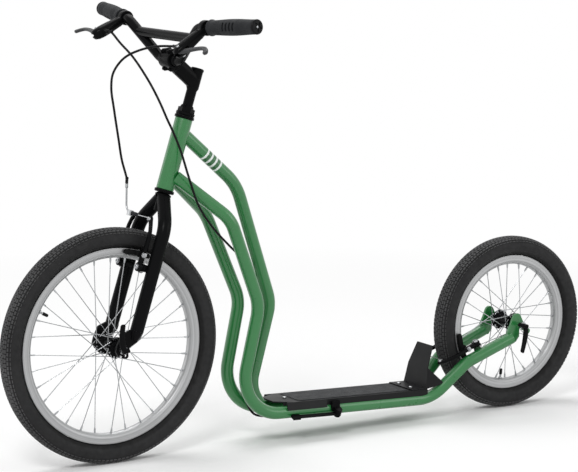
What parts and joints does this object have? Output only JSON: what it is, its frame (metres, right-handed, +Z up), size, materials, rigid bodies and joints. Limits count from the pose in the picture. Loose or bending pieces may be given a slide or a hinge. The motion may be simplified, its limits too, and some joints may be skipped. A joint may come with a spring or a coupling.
{
  "type": "kick scooter",
  "caption": "Adult kick scooter with two spoked wheels, bent-tube frame, low footboard, riser handlebar, rim brakes and side stand.",
  "frame": {"origin": "floor under the middle of the bounding box", "axes": "+X to the rear wheel, so the scooter faces -X; +Y to the rider's right; +Z up"},
  "size_m": [1.511, 0.6662, 0.9577],
  "materials": {
    "green_paint": "gloss",
    "black_paint": "satin",
    "charcoal": "matte",
    "polished_alloy": "satin",
    "steel": "polished",
    "tyre_rubber": "matte",
    "grip_rubber": "matte",
    "plastic": "matte"
  },
  "bodies": {
    "frame": {"head_tube": "green_paint", "lower_headset_cup": "black_paint", "upper_headset_cup": "black_paint", "rear_axle": "steel", "rear_noodle": "steel", "left_side_tube": "green_paint", "right_side_tube": "green_paint", "upper_tube": "green_paint", "front_bridge": "green_paint", "left_rear_dropout": "green_paint", "right_rear_dropout": "green_paint", "footboard": "charcoal", "heel_guard": "charcoal", "stand_bracket": "black_paint", "rear_cable_lower": "plastic"},
    "steering": {"steerer_tube": "black_paint", "left_fork_leg": "black_paint", "right_fork_leg": "black_paint", "left_fork_end": "black_paint", "right_fork_end": "black_paint", "crown_race": "black_paint", "top_race": "black_paint", "locking_nut": "black_paint", "stem": "black_paint", "stem_face_plate": "black_paint", "handlebar": "black_paint", "handlebar_crossbar": "black_paint", "left_grip": "grip_rubber", "right_grip": "grip_rubber", "left_bar_plug": "plastic", "right_bar_plug": "plastic", "left_lever_bracket": "black_paint", "right_lever_bracket": "black_paint", "front_axle": "steel", "front_cable": "plastic", "front_noodle": "steel", "rear_cable_upper": "plastic"},
    "front_wheel": {"front_tyre": "tyre_rubber", "front_rim": "polished_alloy", "front_hub_and_spokes": "steel", "front_valve": "plastic"},
    "rear_wheel": {"rear_tyre": "tyre_rubber", "rear_rim": "polished_alloy", "rear_hub_and_spokes": "steel", "rear_valve": "plastic"},
    "left_lever": {"left_brake_lever": "charcoal"},
    "right_lever": {"right_brake_lever": "charcoal"},
    "front_left_arm": {"front_left_brake_arm": "black_paint", "front_left_brake_pad": "tyre_rubber"},
    "front_right_arm": {"front_right_brake_arm": "black_paint", "front_right_brake_pad": "tyre_rubber"},
    "rear_left_arm": {"rear_left_brake_arm": "black_paint", "rear_left_brake_pad": "tyre_rubber"},
    "rear_right_arm": {"rear_right_brake_arm": "black_paint", "rear_right_brake_pad": "tyre_rubber"},
    "front_release": {"front_release_lever": "black_paint"},
    "rear_release": {"rear_release_lever": "black_paint"},
    "stand": {"side_stand": "black_paint"}
  },
  "joints": [
    {"name": "steering_turn", "type": "hinge", "parent": "frame", "child": "steering", "pos_m": [-0.34753, 0, 0.65238], "axis": [0.3007, 0, 0.9537], "range_deg": [-60, 60]},
    {"name": "front_wheel_spin", "type": "hinge", "parent": "steering", "child": "front_wheel", "pos_m": [-0.5025, 0, 0.253], "axis": [0, 1, 0], "continuous": true},
    {"name": "rear_wheel_spin", "type": "hinge", "parent": "frame", "child": "rear_wheel", "pos_m": [0.5525, 0, 0.203], "axis": [0, 1, 0], "continuous": true},
    {"name": "left_lever_pull", "type": "hinge", "parent": "steering", "child": "left_lever", "pos_m": [-0.43083, -0.173, 0.88606], "axis": [-0.6088, 0, 0.7934], "range_deg": [0, 20], "stiffness_Nm_per_rad": 0.6},
    {"name": "right_lever_pull", "type": "hinge", "parent": "steering", "child": "right_lever", "pos_m": [-0.43958, 0.173, 0.90061], "axis": [0.4147, 0, -0.91], "range_deg": [0, 20], "stiffness_Nm_per_rad": 0.6},
    {"name": "front_left_arm_close", "type": "hinge", "parent": "steering", "child": "front_left_arm", "pos_m": [-0.44912, -0.042, 0.42229], "axis": [-0.9537, 0, 0.3007], "range_deg": [0, 3.2]},
    {"name": "front_right_arm_close", "type": "hinge", "parent": "steering", "child": "front_right_arm", "pos_m": [-0.44912, 0.042, 0.42229], "axis": [0.9537, 0, -0.3007], "range_deg": [0, 3.2]},
    {"name": "rear_left_arm_close", "type": "hinge", "parent": "frame", "child": "rear_left_arm", "pos_m": [0.4342, -0.042, 0.16111], "axis": [0.3338, 0, -0.9426], "range_deg": [0, 3.2]},
    {"name": "rear_right_arm_close", "type": "hinge", "parent": "frame", "child": "rear_right_arm", "pos_m": [0.4342, 0.042, 0.16111], "axis": [-0.3338, 0, 0.9426], "range_deg": [0, 3.2]},
    {"name": "front_release_open", "type": "hinge", "parent": "steering", "child": "front_release", "pos_m": [-0.5025, -0.0704, 0.253], "axis": [0.9925, 0, 0.1219], "range_deg": [0, 165]},
    {"name": "rear_release_open", "type": "hinge", "parent": "frame", "child": "rear_release", "pos_m": [0.5525, -0.0704, 0.203], "axis": [-0.9848, 0, 0.1736], "range_deg": [0, 165]},
    {"name": "side_stand_swing", "type": "hinge", "parent": "frame", "child": "stand", "pos_m": [0.0375, -0.059, 0.053], "axis": [0.0354, -0.3991, 0.9162], "range_deg": [0, 78.2]}
  ],
  "couplings": [
    {"joint": "front_left_arm_close", "follows": "left_lever_pull", "ratio": 0.16},
    {"joint": "front_right_arm_close", "follows": "left_lever_pull", "ratio": 0.16},
    {"joint": "rear_left_arm_close", "follows": "right_lever_pull", "ratio": 0.16},
    {"joint": "rear_right_arm_close", "follows": "right_lever_pull", "ratio": 0.16}
  ]
}
